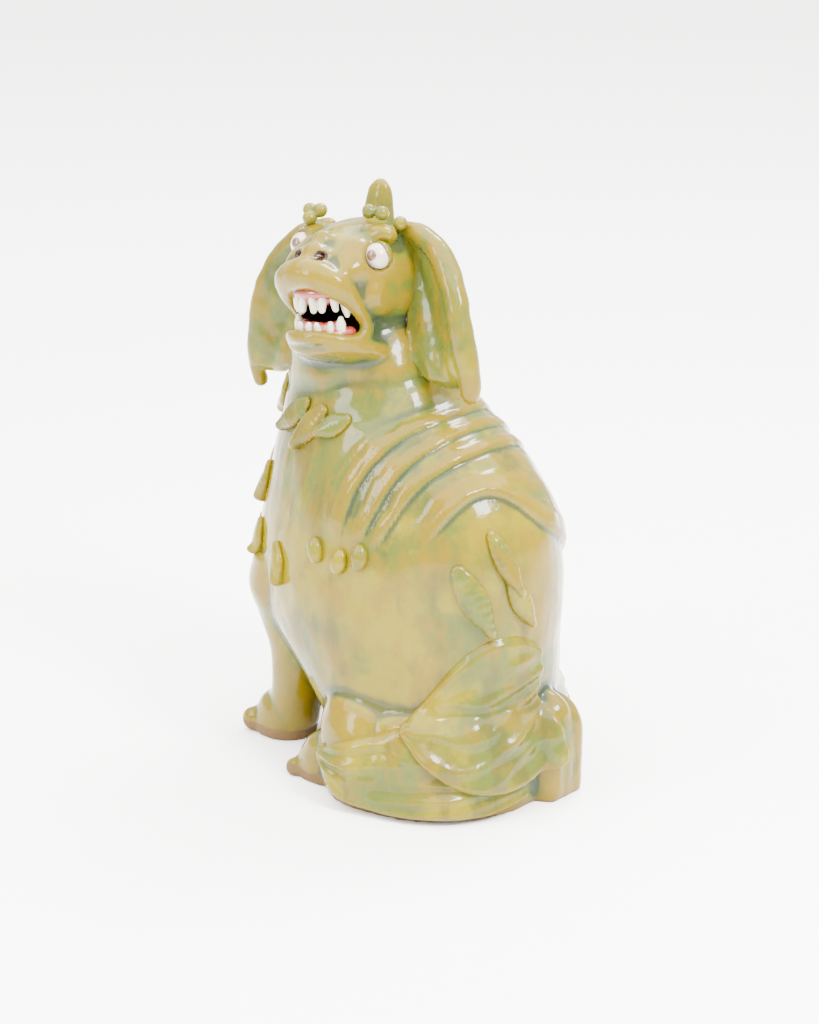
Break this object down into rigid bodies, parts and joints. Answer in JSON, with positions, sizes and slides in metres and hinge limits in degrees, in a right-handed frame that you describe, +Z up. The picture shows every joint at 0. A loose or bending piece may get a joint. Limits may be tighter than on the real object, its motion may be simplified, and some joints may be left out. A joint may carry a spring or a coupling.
{
  "type": "foo dog statue",
  "caption": "Seated ceramic foo dog with its head turned to one side, open toothy mouth, hanging ears, horn and layered mane; hollow and open underneath.",
  "frame": {"origin": "centre of the overall box at the level that the statue stands on", "axes": "+Z up; the body faces -Y; +X is the dog's left, the way that its turned head faces"},
  "size_m": [0.1974, 0.2577, 0.3831],
  "materials": {
    "glaze_body": "glossy translucent celadon and straw glaze over buff stoneware",
    "glaze_mane": "glossy celadon glaze, worn to ochre on the ridges",
    "glaze_pats": "glossy straw-yellow glaze",
    "glaze_flaps": "glossy pale celadon glaze, pooled green in the folds",
    "glaze_paws": "glossy glaze with bare pinkish clay at the foot",
    "glaze_face": "glossy straw-yellow glaze",
    "glaze_ears": "glossy celadon glaze, straw on the rolled edge",
    "gum_red": "glossy red glaze",
    "tooth_white": "glossy white glaze",
    "eye_white": "glossy white glaze",
    "iris_brown": "glossy dark brown glaze"
  },
  "bodies": {
    "root": {"chest_tufts": "glaze_pats", "collar_tufts": "glaze_pats", "head_shell": "glaze_body", "horn": "glaze_face", "left_brow": "glaze_face", "left_brow_curls": "glaze_face", "left_ear": "glaze_ears", "left_eyeball": "eye_white", "left_eyelid": "glaze_face", "left_foreleg": "glaze_body", "left_forepaw": "glaze_paws", "left_haunch": "glaze_body", "left_hind_paw": "glaze_paws", "left_iris": "iris_brown", "left_lower_flap": "glaze_flaps", "left_mane_curls": "glaze_pats", "left_upper_flap": "glaze_flaps", "lower_canines": "tooth_white", "lower_gum": "gum_red", "lower_incisors": "tooth_white", "lower_jaw": "glaze_face", "lower_lip": "glaze_face", "mane_band_lower": "glaze_mane", "mane_band_middle": "glaze_mane", "mane_band_upper": "glaze_mane", "neck_shell": "glaze_body", "nose": "glaze_face", "right_brow": "glaze_face", "right_brow_curls": "glaze_face", "right_ear": "glaze_ears", "right_eyeball": "eye_white", "right_eyelid": "glaze_face", "right_foreleg": "glaze_body", "right_forepaw": "glaze_paws", "right_haunch": "glaze_body", "right_hind_paw": "glaze_paws", "right_iris": "iris_brown", "right_lower_flap": "glaze_flaps", "right_mane_curls": "glaze_pats", "right_upper_flap": "glaze_flaps", "rump_tufts": "glaze_pats", "tail": "glaze_body", "torso_shell": "glaze_body", "upper_canines": "tooth_white", "upper_gum": "gum_red", "upper_incisors": "tooth_white", "upper_lip": "glaze_face"}
  },
  "joints": []
}
